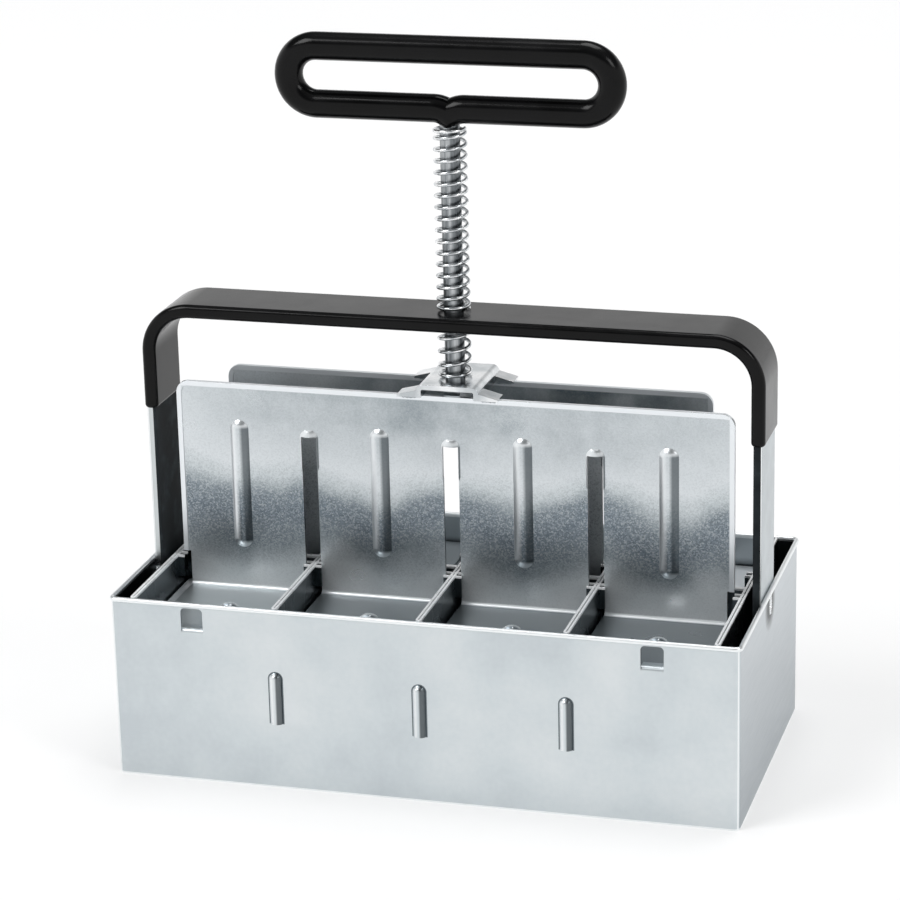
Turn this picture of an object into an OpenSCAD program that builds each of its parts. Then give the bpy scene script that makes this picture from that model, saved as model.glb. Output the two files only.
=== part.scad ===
// Hand soil blocker with two rows of four cells.
// A folded sheet box holds an egg-crate of dividers. Two slotted, ribbed
// ejector webs straddle the dividers and are pushed down by a sprung rod
// that slides through the bow handle.
// Origin: centre of the box's open bottom. +Z up, +X along the long side.

/* [Cells] */
// Inner length of one cell along the row
cell_x = 50; // [46:1:56]
// Inner depth of one cell across the row
cell_y = 53; // [46:1:56]
// Height of the box, from the bottom edge to the rim
box_h = 67; // [60:1:76]
// Thickness of the box sheet
sheet_t = 1; // [0.8:0.1:1.2]
// Thickness of a folded double-sheet divider
divider_t = 2; // [1.8:0.1:2.4]
// Thickness of one leaf of a divider
leaf_t = 0.8; // [0.6:0.05:0.85]
// Clear width of the pocket between an end liner and the end of the box
pocket_w = 6; // [5.5:0.5:9]
// Outer radius of the box's vertical corners
corner_r = 2; // [1.6:0.1:3]
// Diameter of the rolled hem round the rim
hem_d = 1.8; // [1.5:0.1:2.4]

/* [Windows and lugs] */
// Width of a stop window under the rim
window_w = 8; // [6:0.5:10]
// Height of a stop window above its bent lip
window_h = 7.6; // [6:0.2:7.8]
// Distance of a stop window from the middle of the box
window_x = 82; // [74:1:88]
// Length of the lip bent inward at the foot of a window
lip_l = 4.4; // [3.4:0.2:6]
// Height of the half-round lug that covers a divider tab
lug_h = 19; // [14:1:24]
// Height of the lug's lower end above the bottom edge
lug_z = 24.5; // [16:0.5:30]
// Radius of the lug's bulge
lug_r = 2.4; // [2.1:0.1:2.8]
// How far the lug stands out of the wall
lug_out = 1.8; // [1.4:0.1:2]

/* [Ejector] */
// Thickness of the ejector sheet
web_t = 1; // [0.8:0.1:1.2]
// Distance of the front web from the middle of the box
front_web_y = 8; // [7.5:0.5:10]
// Distance of the rear web from the middle of the box
rear_web_y = 14; // [11:0.5:18]
// Height of the webs above the rim at rest
web_rise = 66; // [64:1:76]
// Depth of the feet below the rim at rest
foot_drop = 11; // [10.4:0.2:13]
// Gap between the ends of the front web and the end liners
web_end_gap = 2; // [1.6:0.1:3]
// Width of the rear web
rear_web_w = 178; // [174:1:186]
// How much narrower each end of the front web is below the shoulder
shoulder_step = 2.5; // [1.5:0.5:4]
// Radius of the web's upper corners
web_corner_r = 4.5; // [3:0.5:8]
// Width of the folded hem along the web's top and ends
web_hem_w = 1.8; // [1.4:0.1:2.6]
// How far the folded hem stands proud of each face
web_hem_out = 0.35; // [0.2:0.05:0.5]
// Width of a slot that straddles a divider
slot_w = 5.6; // [5:0.1:6.2]
// Width of the rear web's middle slot
rear_mid_slot_w = 21; // [14:1:24]
// Distance of a slot's square top below the web's top edge
slot_drop = 18.2; // [16:0.1:22]
// Height of the pressed cap over a slot
cap_h = 2.8; // [2.2:0.1:3.4]
// How far the cap stands out of the web
cap_out = 1.2; // [0.8:0.1:1.4]
// Width of a pressed rib
rib_w = 6.9; // [5:0.1:9]
// How far a rib stands out of the web
rib_out = 1.5; // [1:0.1:1.8]
// Length of a rib
rib_l = 48; // [40:1:52]
// Distance of a rib's upper end below the web's top edge
rib_drop = 13.5; // [11:0.5:18]
// Clearance of the feet and pusher plates to the cell walls
foot_gap = 0.8; // [0.6:0.1:1.2]
// Thickness of a pusher plate
pusher_t = 1.2; // [1:0.1:1.6]
// Radius of a seed pin below the pusher plate
pin_r = 4.5; // [3.5:0.5:6]
// Length of a seed pin below the pusher plate
pin_l = 8; // [6:0.5:9]
// Radius of a seed pin's shank
pin_shank_r = 2; // [1.5:0.1:2.5]

/* [Bow handle] */
// Thickness of the bow strap
strap_t = 3; // [2.6:0.1:3.6]
// Width of the bow strap
strap_w = 24; // [22:1:28]
// Height of the bow's bare top face above the rim
bow_rise = 94; // [91:0.5:98]
// Outer radius of the bow's corners
bow_r = 17; // [12:1:24]
// Depth of the bow's legs below the rim
leg_depth = 27; // [20:1:34]
// Thickness of the dipped coating on the bow
bow_coat_t = 1; // [0.8:0.1:1.4]
// Height of the coating's lower edge above the rim
bow_coat_z = 56; // [50:1:62]

/* [Plunger] */
// Diameter of the plunger rod
rod_d = 7; // [6.4:0.1:7.4]
// Radial running clearance of the rod in the bow
rod_fit = 0.05; // [0.02:0.01:0.1]
// Diameter of the rod's threaded end
stud_d = 6; // [5:0.1:6.2]
// Height of the saddle bracket's top face above the webs
saddle_rise = 4.7; // [4.2:0.1:7]
// Thickness of the saddle bracket
saddle_t = 1.8; // [1.5:0.1:2]
// Width of the saddle's raised top
saddle_top_w = 22.5; // [21:0.5:27]
// Overhang of the saddle past the middle of each web
saddle_over = 3.5; // [2.5:0.5:5]
// Length of each foot that splays out of the saddle
saddle_foot = 7; // [6:0.5:10]
// Width of each foot of the saddle, along the saddle
saddle_foot_w = 7; // [5:0.5:8]
// Free travel of the plunger
stroke = 43; // [40:1:45]
// Slack left in the return spring when the plunger is all the way down
spring_slack = 0.4; // [0.2:0.1:1]

/* [Grip] */
// Overall width of the grip loop
grip_w = 124; // [110:1:140]
// Overall height of the grip loop
grip_h = 30; // [29:0.5:38]
// Diameter of the steel core of the grip
core_d = 7; // [6:0.1:7.6]
// Outer diameter of the dipped grip
grip_d = 9.8; // [9:0.1:11]
// Radius to which each end of the loop is turned down
end_bend_r = 9; // [8.5:0.5:12]
// Angle through which each end of the loop is turned down
end_bend_a = 38; // [30:1:42]

/* [Springs] */
// Wire diameter of both springs
wire_d = 1.3; // [1:0.1:1.4]
// Outer diameter of both springs
spring_d = 12; // [11.6:0.1:12.6]
// Turns of the return spring
return_turns = 15; // [12:1:16]
// Turns of the buffer spring
buffer_turns = 3; // [2:1:4]
// Gap between the buffer spring and the underside of the bow
buffer_gap = 0.3; // [0.3:0.1:1]

/* [Hidden] */
$fn = 48;
eps = 0.01;
columns = 4;

// Plan of the box
lug_t = 0.8;
pitch_x = cell_x + divider_t;
liner_x = columns * pitch_x / 2;
liner_face = liner_x - divider_t / 2;
box_w = 2 * (liner_x + divider_t / 2 + pocket_w + sheet_t);
box_d = 2 * cell_y + divider_t + 2 * sheet_t;
wall_in_x = box_w / 2 - sheet_t;
wall_in_y = box_d / 2 - sheet_t;
cell_centre_y = (divider_t + cell_y) / 2;
divider_xs = [-pitch_x, 0, pitch_x];
cell_xs = [for (i = [0 : columns - 1]) (i - (columns - 1) / 2) * pitch_x];

// Ejector
web_ys = [-front_web_y, rear_web_y];
web_top = box_h + web_rise;
foot_top = box_h - foot_drop;
foot_bend_r = 1.6;
cap_rim = 0.6;
stop_gap = 0.3;
lip_top = foot_top + stop_gap + sheet_t;
lip_bend_r = 0.8;
front_web_w = 2 * (liner_face - web_end_gap);
shoulder_z = box_h + 1.5;
leg_bottom_w = front_web_w - 2 * shoulder_step;
foot_reach = wall_in_y - foot_gap;
pusher_top = foot_top - web_t;
pusher_bottom = pusher_top - pusher_t;
fit_gap = 0.05;

// Guide ears on the dividers keep each web upright
ear_w = 6.6;
ear_t = 0.8;
ear_gap = 0.8;
ear_h = 8;

// Heights of the bow
bow_top = box_h + bow_rise;
bow_under = bow_top - strap_t;
coat_top = bow_top + bow_coat_t;
coat_under = bow_under - bow_coat_t;
leg_bottom = box_h - leg_depth;
coat_bottom = box_h + bow_coat_z;

// Plunger
saddle_top = web_top + saddle_rise;
saddle_under = saddle_top - saddle_t;
saddle_bend_r = 0.6;
foot_tip_t = 0.8;
washer_t = 1.2;
washer_d = 12;
nut_h = 5;
nut_af = 10;
stud_end = 2;
seat_depth = 1;
squeezed_l = (return_turns + 2) * wire_d + spring_slack;
grip_seat = coat_top + stroke + squeezed_l;
grip_bottom = grip_seat + seat_depth;
grip_z = grip_bottom + grip_h / 2;
loop_r = (grip_h - grip_d) / 2;
loop_x = (grip_w - grip_h) / 2;
bar_z = grip_bottom + grip_d / 2;
bend_x = end_bend_r * sin(end_bend_a);
core_drop = end_bend_r * (1 - cos(end_bend_a));
rod_top = bar_z - core_drop - core_d / 2 + seat_depth;

// Springs
coil_r = (spring_d - wire_d) / 2;
wire_sides = 6;
rings_per_turn = 8;
wire_bend_r = 1.2;

box_colour = "lightgray";
web_colour = "silver";
plate_colour = "whitesmoke";
dip_colour = "#161616";

// Rectangle with round corners, made of true arcs
module round_rect(w, d, r) {
    square([w - 2 * r, d], center = true);
    square([w, d - 2 * r], center = true);
    for (x = [-1, 1], y = [-1, 1])
        translate([x * (w / 2 - r), y * (d / 2 - r)]) circle(r);
}

// Quarter of a bent sheet: centre of the bend at the origin, first quadrant
module bend_quarter(r_in, t) {
    intersection() {
        difference() {
            circle(r_in + t);
            circle(r_in);
        }
        square(r_in + t);
    }
}

// Places its children on the front and, mirrored, on the rear
module both_rows() {
    children();
    mirror([0, 1, 0]) children();
}

// ---------- Box ----------

// Outline of a stop window: square foot, round upper corners
module window_outline() {
    r = 1.5;
    translate([-window_w / 2, 0]) square([window_w, window_h - r]);
    translate([-window_w / 2 + r, 0]) square([window_w - 2 * r, window_h]);
    for (s = [-1, 1])
        translate([s * (window_w / 2 - r), window_h - r]) circle(r);
}

// Lip bent inward at the foot of a window; the feet come to rest under it
module stop_lip() {
    r_out = lip_bend_r + sheet_t;
    translate([-window_w / 2, -box_d / 2 + r_out, lip_top - r_out])
        rotate([90, 0, 90])
            linear_extrude(window_w) {
                mirror([1, 0]) bend_quarter(lip_bend_r, sheet_t);
                translate([-eps, lip_bend_r]) square([lip_l - r_out, sheet_t]);
            }
}

// Hem round the rim, rolled outward so that the inside stays flush
module rim_hem() {
    r = hem_d / 2;
    mid_w = wall_in_x + r;
    mid_d = wall_in_y + r;
    bend = corner_r - sheet_t + r;
    translate([0, 0, box_h - r]) {
        for (s = [-1, 1]) {
            translate([-mid_w + bend, s * mid_d, 0])
                rotate([0, 90, 0]) cylinder(h = 2 * (mid_w - bend), r = r);
            translate([s * mid_w, mid_d - bend, 0])
                rotate([90, 0, 0]) cylinder(h = 2 * (mid_d - bend), r = r);
        }
        for (x = [-1, 1], y = [-1, 1])
            translate([x * (mid_w - bend), y * (mid_d - bend), 0])
                mirror([x < 0 ? 1 : 0, 0, 0]) mirror([0, y < 0 ? 1 : 0, 0])
                    rotate_extrude(angle = 90) translate([bend, 0]) circle(r);
    }
}

// Half-round lug pressed out of the wall over a divider tab, open below
module lug_bulge(r, z0, z1) {
    translate([0, -box_d / 2 - lug_out + lug_r, z0]) {
        cylinder(h = z1 - z0 - lug_r, r = r);
        translate([0, 0, z1 - z0 - lug_r]) sphere(r);
    }
}

module box_shell() color(box_colour) {
    r_out = lip_bend_r + sheet_t;
    difference() {
        union() {
            linear_extrude(box_h - hem_d / 2) difference() {
                round_rect(box_w, box_d, corner_r);
                round_rect(box_w - 2 * sheet_t, box_d - 2 * sheet_t, corner_r - sheet_t);
            }
            both_rows() for (x = divider_xs)
                translate([x, 0, 0]) intersection() {
                    lug_bulge(lug_r, lug_z, lug_z + lug_h);
                    translate([-lug_r, -box_d / 2 - lug_out, 0])
                        cube([2 * lug_r, lug_out + sheet_t / 2, box_h]);
                }
        }
        both_rows() {
            for (s = [-1, 1]) translate([s * window_x, 0, 0]) {
                translate([0, -wall_in_y + eps, lip_top])
                    rotate([90, 0, 0]) linear_extrude(sheet_t + 2 * eps) window_outline();
                translate([-window_w / 2, -box_d / 2 - eps, lip_top - r_out])
                    cube([window_w, sheet_t + 2 * eps, r_out + eps]);
            }
            // room for the divider tab behind each lug
            for (x = divider_xs) translate([x, 0, 0]) {
                lug_bulge(lug_r - lug_t, lug_z - eps, lug_z + lug_h - lug_t);
                translate([-divider_t / 2 - fit_gap, -box_d / 2 - eps, lug_z - eps])
                    cube([divider_t + 2 * fit_gap, sheet_t + 2 * eps, lug_h - lug_r]);
            }
        }
    }
    rim_hem();
    both_rows() for (s = [-1, 1]) translate([s * window_x, 0, 0]) stop_lip();
}

// Butt weld at the top of the sheet's seam, in the middle of one end
module seam_weld() color(box_colour) {
    seam_r = 0.9 * (hem_d - sheet_t);
    seam_l = 7;
    translate([box_w / 2, 0, box_h - hem_d - seam_l]) intersection() {
        union() {
            cylinder(h = seam_l, r = seam_r, $fn = 24);
            sphere(seam_r, $fn = 24);
        }
        translate([0, -seam_r, -seam_r]) cube([seam_r, 2 * seam_r, seam_l + seam_r]);
    }
}

// ---------- Dividers ----------

// Ears bent out of a divider in front of and behind each web
module guide_ears(x0, w) {
    for (y = web_ys, side = [-1, 1])
        translate([x0, y + side * (web_t / 2 + ear_gap) - (side < 0 ? ear_t : 0), box_h - ear_h])
            cube([w, ear_t, ear_h]);
}

// Flattened loop of sheet, seen as two leaves with a hairpin at each end
module divider_loop() {
    r = divider_t / 2;
    gap_r = r - leaf_t;
    run = wall_in_y - r;
    linear_extrude(box_h) difference() {
        union() {
            square([divider_t, 2 * run], center = true);
            for (s = [-1, 1]) translate([0, s * run]) circle(r);
        }
        square([2 * gap_r, 2 * run], center = true);
        for (s = [-1, 1]) translate([0, s * run]) circle(gap_r);
    }
}

// Cross divider: half-lapped over the centre wall, tabbed into the box
module divider() color(web_colour) {
    tab_gap = 0.3;
    tab_out = 0.9;
    difference() {
        union() {
            divider_loop();
            guide_ears(-ear_w / 2, ear_w);
            both_rows() translate([-leaf_t / 2, -wall_in_y - tab_out, lug_z + tab_gap])
                cube([leaf_t, lug_out, lug_h - lug_r - 2 * tab_gap]);
        }
        translate([-divider_t, -divider_t / 2 - fit_gap, -eps])
            cube([2 * divider_t, divider_t + 2 * fit_gap, box_h / 2 + fit_gap]);
    }
}

// End wall of both rows; its ears stand on the side of the cells
module end_liner() color(web_colour) {
    divider_loop();
    guide_ears(-ear_w / 2, ear_w / 2);
}

// Wall between the rows, notched from above for each cross divider
module centre_wall() color(web_colour) {
    difference() {
        translate([-liner_face, -divider_t / 2, 0]) cube([2 * liner_face, divider_t, box_h]);
        for (x = divider_xs)
            translate([x - divider_t / 2 - fit_gap, -divider_t, box_h / 2])
                cube([divider_t + 2 * fit_gap, 2 * divider_t, box_h]);
        translate([-liner_face - eps, -divider_t / 2 + leaf_t, -eps])
            cube([2 * liner_face + 2 * eps, divider_t - 2 * leaf_t, box_h - leaf_t]);
    }
}

// ---------- Ejector ----------

// Web and foot as one bent sheet, seen from the end of the row
module ejector_profile(dist) {
    r_out = foot_bend_r + web_t;
    translate([-dist - web_t / 2, foot_top - web_t + r_out])
        square([web_t, web_top - foot_top + web_t - r_out]);
    translate([-foot_reach, foot_top - web_t])
        square([foot_reach - dist + web_t / 2 - r_out, web_t]);
    translate([-dist + web_t / 2 - r_out, foot_top - web_t + r_out])
        mirror([0, 1]) bend_quarter(foot_bend_r, web_t);
}

// Face of the web: round upper corners and stepped ends
module web_outline(top_w, low_w) {
    r = web_corner_r;
    translate([-top_w / 2, shoulder_z]) square([top_w, web_top - shoulder_z - r]);
    translate([-top_w / 2 + r, shoulder_z]) square([top_w - 2 * r, web_top - shoulder_z]);
    for (s = [-1, 1]) translate([s * (top_w / 2 - r), web_top - r]) circle(r);
    translate([-low_w / 2, 0]) square([low_w, shoulder_z + eps]);
}

// Inner edge of the folded hem
module web_inside(top_w) {
    r = web_corner_r - web_hem_w;
    w = top_w - 2 * web_hem_w;
    top = web_top - web_hem_w;
    translate([-w / 2, 0]) square([w, top - r]);
    translate([-w / 2 + r, 0]) square([w - 2 * r, top]);
    for (s = [-1, 1]) translate([s * (w / 2 - r), top - r]) circle(r);
}

// Capsule whose flank stands out of the web, w wide, hollow behind at an inset
module pressing(dist, w, out, z0, z1, inset) {
    half = w / 2;
    chord_r = (pow(half, 2) + pow(out, 2)) / (2 * out);
    r = chord_r - inset;
    translate([0, -dist - web_t / 2 - out + chord_r, z0 + half]) {
        cylinder(h = z1 - z0 - w, r = r);
        sphere(r);
        translate([0, 0, z1 - z0 - w]) sphere(r);
    }
}

// Ribs at the middle of each cell and caps over the slots; inset 0 is the face
module pressings(dist, capped, inset) {
    rib_top = web_top - rib_drop;
    cap_top = web_top - slot_drop + cap_h;
    for (x = cell_xs) translate([x, 0, 0])
        pressing(dist, rib_w, rib_out, rib_top - rib_l, rib_top, inset);
    for (x = capped) translate([x, 0, 0])
        pressing(dist, slot_w + 2 * cap_rim, cap_out, cap_top - 3 * slot_w, cap_top, inset);
}

// One ejector for the front row, dist in front of the middle of the box
module ejector(dist, top_w, low_w, mid_slot_w) color(web_colour) {
    y_front = -dist - web_t / 2;
    leaf = 0.9 * web_t;
    capped = mid_slot_w > slot_w ? [-pitch_x, pitch_x] : divider_xs;
    difference() {
        union() {
            intersection() {
                translate([-top_w / 2, 0, 0]) rotate([90, 0, 90])
                    linear_extrude(top_w) ejector_profile(dist);
                rotate([90, 0, 0]) linear_extrude(box_d) web_outline(top_w, low_w);
            }
            translate([0, y_front + web_t + web_hem_out, 0]) rotate([90, 0, 0])
                linear_extrude(web_t + 2 * web_hem_out) difference() {
                    intersection() {
                        web_outline(top_w, low_w);
                        translate([-top_w / 2, shoulder_z]) square([top_w, web_rise]);
                    }
                    web_inside(top_w);
                }
            intersection() {
                pressings(dist, capped, 0);
                translate([-top_w / 2, y_front - 2 * rib_out, 0])
                    cube([top_w, 2 * rib_out + web_t / 2, web_top]);
            }
        }
        pressings(dist, capped, leaf);
        for (x = divider_xs) translate([x, 0, 0]) {
            w = x == 0 ? mid_slot_w : slot_w;
            translate([-w / 2, -box_d, 0]) cube([w, box_d, web_top - slot_drop]);
        }
        for (x = cell_xs) translate([x, -cell_centre_y, foot_top - 2 * web_t])
            cylinder(h = 3 * web_t, r = pin_shank_r + fit_gap);
    }
}

module ejector_front() ejector(front_web_y, front_web_w, leg_bottom_w, slot_w);

module ejector_rear() mirror([0, 1, 0])
    ejector(rear_web_y, rear_web_w, rear_web_w, rear_mid_slot_w);

// Plates that fill each cell of the front row and press the blocks out
module pusher_row() color(plate_colour) {
    corner = 1.5;
    for (x = cell_xs) translate([x, -cell_centre_y, pusher_bottom]) difference() {
        linear_extrude(pusher_t)
            round_rect(cell_x - 2 * foot_gap, cell_y - 2 * foot_gap, corner);
        translate([0, 0, -eps]) cylinder(h = pusher_t + 2 * eps, r = pin_shank_r + fit_gap);
    }
}

module pusher_plates_front() pusher_row();

module pusher_plates_rear() mirror([0, 1, 0]) pusher_row();

// Seed pins: domed head on the foot, shank, and a blunt dibber below
module seed_pins() color(plate_colour) {
    head_r = pin_shank_r + 1.2;
    head_h = 1.1;
    dome_r = (pow(head_r, 2) + pow(head_h, 2)) / (2 * head_h);
    nose = 2;
    both_rows() for (x = cell_xs) translate([x, -cell_centre_y, 0]) {
        intersection() {
            translate([0, 0, foot_top + head_h - dome_r]) sphere(dome_r);
            translate([0, 0, foot_top]) cylinder(h = head_h + 1, r = head_r + 1);
        }
        translate([0, 0, pusher_bottom]) cylinder(h = foot_top - pusher_bottom, r = pin_shank_r);
        rotate_extrude() {
            translate([0, pusher_bottom - pin_l + nose]) square([pin_r, pin_l - nose]);
            translate([0, pusher_bottom - pin_l]) square([pin_r - nose, nose + eps]);
            translate([pin_r - nose, pusher_bottom - pin_l + nose])
                intersection() {
                    circle(nose);
                    translate([0, -nose]) square(nose);
                }
        }
    }
}

// ---------- Saddle and plunger ----------

// Channel of the saddle seen from the front, right half: top and side wall
module saddle_half() {
    r_out = saddle_bend_r + saddle_t;
    x1 = saddle_top_w / 2;
    translate([0, saddle_under]) square([x1 - r_out, saddle_t]);
    translate([x1 - r_out, saddle_top - r_out]) bend_quarter(saddle_bend_r, saddle_t);
    translate([x1 - saddle_t, web_top]) square([saddle_t, saddle_top - web_top - r_out]);
}

// Foot of the saddle seen from the front: a wedge that slopes down to the web
module saddle_foot_side() {
    x1 = saddle_top_w / 2;
    polygon([[x1 - saddle_t / 2, web_top], [x1 + saddle_foot, web_top],
             [x1 + saddle_foot, web_top + foot_tip_t],
             [x1 - saddle_t / 2, web_top + (saddle_top - web_top) * 0.6]]);
}

module saddle_bracket() color(plate_colour) {
    y0 = -front_web_y - saddle_over;
    y1 = rear_web_y + saddle_over;
    difference() {
        translate([0, y1, 0]) rotate([90, 0, 0]) linear_extrude(y1 - y0) {
            saddle_half();
            mirror([1, 0]) saddle_half();
        }
        translate([0, 0, saddle_under - 1])
            cylinder(h = saddle_t + 2, r = stud_d / 2 + fit_gap);
    }
    for (y = web_ys, side = [0, 1])
        translate([0, y + saddle_foot_w / 2, 0]) rotate([90, 0, 0])
            linear_extrude(saddle_foot_w) mirror([side, 0]) saddle_foot_side();
}

// Fillet welds under each saddle foot, against both faces of the web's top
module bracket_welds() color(plate_colour) {
    bead_r = 1.2;
    bead_l = saddle_foot - 2;
    face = web_t / 2 + web_hem_out;
    for (x = [-1, 1], y = web_ys, side = [-1, 1])
        translate([x * (saddle_top_w + saddle_foot) / 2, y + side * face, web_top])
            rotate([0, 90, 0]) intersection() {
                cylinder(h = bead_l, r = bead_r, center = true, $fn = 24);
                translate([0, side > 0 ? 0 : -bead_r, -bead_l / 2])
                    cube([bead_r, bead_r, bead_l]);
            }
}

module plunger_rod() color(plate_colour) {
    stud_l = saddle_t + washer_t + nut_h + stud_end;
    translate([0, 0, saddle_top]) cylinder(h = rod_top - saddle_top, d = rod_d);
    translate([0, 0, saddle_top - stud_l]) cylinder(h = stud_l + eps, d = stud_d);
}

module rod_washer() color(plate_colour)
    translate([0, 0, saddle_under - washer_t]) difference() {
        cylinder(h = washer_t, d = washer_d);
        translate([0, 0, -1]) cylinder(h = washer_t + 2, r = stud_d / 2 + fit_gap);
    }

// Hexagon nut with both faces chamfered
module rod_nut() color(plate_colour) {
    across = nut_af / cos(30);
    chamfer = 0.5;
    translate([0, 0, saddle_under - washer_t - nut_h]) difference() {
        intersection() {
            cylinder(h = nut_h, d = across, $fn = 6);
            rotate_extrude() polygon([[0, 0], [nut_af / 2, 0], [across / 2, chamfer],
                [across / 2, nut_h - chamfer], [nut_af / 2, nut_h], [0, nut_h]]);
        }
        translate([0, 0, -1]) cylinder(h = nut_h + 2, r = stud_d / 2 + fit_gap);
    }
}

// ---------- Bow handle ----------

// Bent strap seen from the front, right half: outer face out, thickness t
module bow_half(out, t, bottom, r_out) {
    translate([out - t, bottom]) square([t, bow_top + out - wall_in_x - r_out - bottom]);
    translate([0, bow_top + out - wall_in_x - t]) square([out - r_out, t]);
    translate([out - r_out, bow_top + out - wall_in_x - r_out])
        bend_quarter(r_out - t, t);
}

module bow_bar(out, t, w, bottom, r_out) {
    translate([0, w / 2, 0]) rotate([90, 0, 0]) linear_extrude(w) {
        bow_half(out, t, bottom, r_out);
        mirror([1, 0]) bow_half(out, t, bottom, r_out);
    }
}

module bow_strap() color(box_colour) difference() {
    bow_bar(wall_in_x, strap_t, strap_w, leg_bottom, bow_r);
    translate([0, 0, bow_under - 1]) cylinder(h = strap_t + 2, r = rod_d / 2 + rod_fit);
}

// Dipped coating over the top of the bow and the upper part of its legs
module bow_coating() color(dip_colour) difference() {
    bow_bar(wall_in_x + bow_coat_t, strap_t + 2 * bow_coat_t, strap_w + 2 * bow_coat_t,
        coat_bottom, bow_r + bow_coat_t);
    bow_bar(wall_in_x, strap_t, strap_w, coat_bottom - 1, bow_r);
    translate([0, 0, coat_under - 1])
        cylinder(h = strap_t + 2 * bow_coat_t + 2, r = rod_d / 2 + 0.4);
}

// Fillet welds along both edges of each leg, against the end of the box
module leg_welds() color(box_colour) {
    bead_r = 1.6;
    bead_l = leg_depth - 8;
    for (x = [-1, 1], y = [-1, 1])
        translate([x * wall_in_x, y * strap_w / 2, leg_bottom + 4]) intersection() {
            cylinder(h = bead_l, r = bead_r, $fn = 24);
            translate([x > 0 ? -bead_r : 0, y > 0 ? 0 : -bead_r, 0])
                cube([bead_r, bead_r, bead_l]);
        }
}

// ---------- Grip ----------

// Bent bar of the grip: a flat loop whose ends turn down in the middle
module grip_bar(d) {
    r = d / 2;
    translate([-loop_x, 0, bar_z + 2 * loop_r]) rotate([0, 90, 0])
        cylinder(h = 2 * loop_x, r = r);
    for (turn = [0, 180]) rotate([0, 0, turn]) {
        translate([loop_x, 0, grip_z]) rotate([90, 0, 0]) rotate([0, 0, -90])
            rotate_extrude(angle = 180) translate([loop_r, 0]) circle(r);
        translate([bend_x, 0, bar_z]) rotate([0, 90, 0])
            cylinder(h = loop_x - bend_x + 2 * eps, r = r);
        intersection() {
            translate([bend_x, 0, bar_z - end_bend_r]) rotate([90, 0, 0])
                rotate([0, 0, 90]) rotate_extrude(angle = 80)
                    translate([end_bend_r, 0]) circle(r);
            translate([0, -grip_d, grip_seat]) cube([loop_x, 2 * grip_d, grip_h]);
        }
    }
}

// Socket in the underside of the grip for the top of the rod
module rod_socket() {
    translate([0, 0, grip_seat - 1]) cylinder(h = rod_top - grip_seat + 1, d = rod_d);
}

module grip_core() color(plate_colour) difference() {
    grip_bar(core_d);
    rod_socket();
}

module grip_coating() color(dip_colour) difference() {
    grip_bar(grip_d);
    grip_bar(core_d);
    rod_socket();
}

// ---------- Springs ----------

// One point of the wire: angle round the coil, height, and slope of the wire
function coil_point(a, z) = [coil_r * cos(a), coil_r * sin(a), z];

// Path of the wire as [point, angle, slope]: a square end, a short bend, the
// turns, and the same in reverse. Slope is 90 where the wire stands upright.
function coil_path(z0, z1, turns) =
    let (foot = wire_d + wire_bend_r,
         bend_a = wire_bend_r / coil_r * 180 / PI,
         za = z0 + foot, zb = z1 - foot,
         steps = turns * rings_per_turn,
         rise = atan2(zb - za, 2 * PI * coil_r * turns))
    concat(
        [[coil_point(0, z0), 0, 90]],
        [for (s = [90, 60, 30])
            [coil_point(bend_a * (1 - sin(s)), z0 + wire_d + wire_bend_r * cos(s)),
             bend_a * (1 - sin(s)), s]],
        [for (i = [1 : steps - 1]) let (a = bend_a + i * 360 / rings_per_turn)
            [coil_point(a, za + (zb - za) * i / steps), a, rise]],
        [for (s = [30, 60, 90]) let (a = 2 * bend_a + turns * 360 - bend_a * (1 - sin(s)))
            [coil_point(a, z1 - wire_d - wire_bend_r * cos(s)), a, s]],
        [[coil_point(2 * bend_a + turns * 360, z1), 2 * bend_a + turns * 360, 90]]);

// Ring of points round the wire at one step of the path
function wire_ring(p) = [for (k = [0 : wire_sides - 1])
    let (t = k * 360 / wire_sides,
         out = [cos(p[1]), sin(p[1]), 0],
         up = [sin(p[2]) * sin(p[1]), -sin(p[2]) * cos(p[1]), cos(p[2])])
    p[0] + wire_d / 2 * (cos(t) * out + sin(t) * up)];

// Least gap between stretches of wire that lie over half a turn apart
function coil_gap(path) = min([for (i = [0 : len(path) - 1])
    for (j = [i + 5 : 1 : min(len(path) - 1, i + 12)])
        norm(path[i][0] - path[j][0])]) - wire_d;

module coil(z0, z1, turns) {
    path = coil_path(z0, z1, turns);
    rings = [for (p = path) wire_ring(p)];
    n = len(path);
    m = wire_sides;
    echo(turns = turns, least_gap = coil_gap(path));
    polyhedron(
        points = [for (ring = rings) each ring],
        faces = concat(
            [for (i = [0 : n - 2]) for (k = [0 : m - 1])
                each [[i * m + k, i * m + (k + 1) % m, (i + 1) * m + (k + 1) % m],
                      [i * m + k, (i + 1) * m + (k + 1) % m, (i + 1) * m + k]]],
            [for (k = [1 : m - 2]) [0, k + 1, k]],
            [for (k = [1 : m - 2]) [(n - 1) * m, (n - 1) * m + k, (n - 1) * m + k + 1]]));
}

// Stands on the saddle and cushions the plunger's return
module buffer_spring() color(plate_colour)
    coil(saddle_top, coat_under - buffer_gap, buffer_turns);

// Works between the bow and the grip and lifts the plunger
module return_spring() color(plate_colour)
    coil(coat_top, grip_seat, return_turns);

box_shell();
seam_weld();
translate([-pitch_x, 0, 0]) divider();  // divider_left
divider();  // divider_middle
translate([pitch_x, 0, 0]) divider();  // divider_right
translate([-liner_x, 0, 0]) mirror([1, 0, 0]) end_liner();  // end_liner_left
translate([liner_x, 0, 0]) end_liner();  // end_liner_right
centre_wall();
bow_strap();
bow_coating();
leg_welds();
ejector_front();
ejector_rear();
pusher_plates_front();
pusher_plates_rear();
seed_pins();
saddle_bracket();
bracket_welds();
rod_washer();
rod_nut();
plunger_rod();
buffer_spring();
return_spring();
grip_core();
grip_coating();
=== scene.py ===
import math

import bmesh
import bpy
from mathutils import Matrix, Vector


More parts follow.
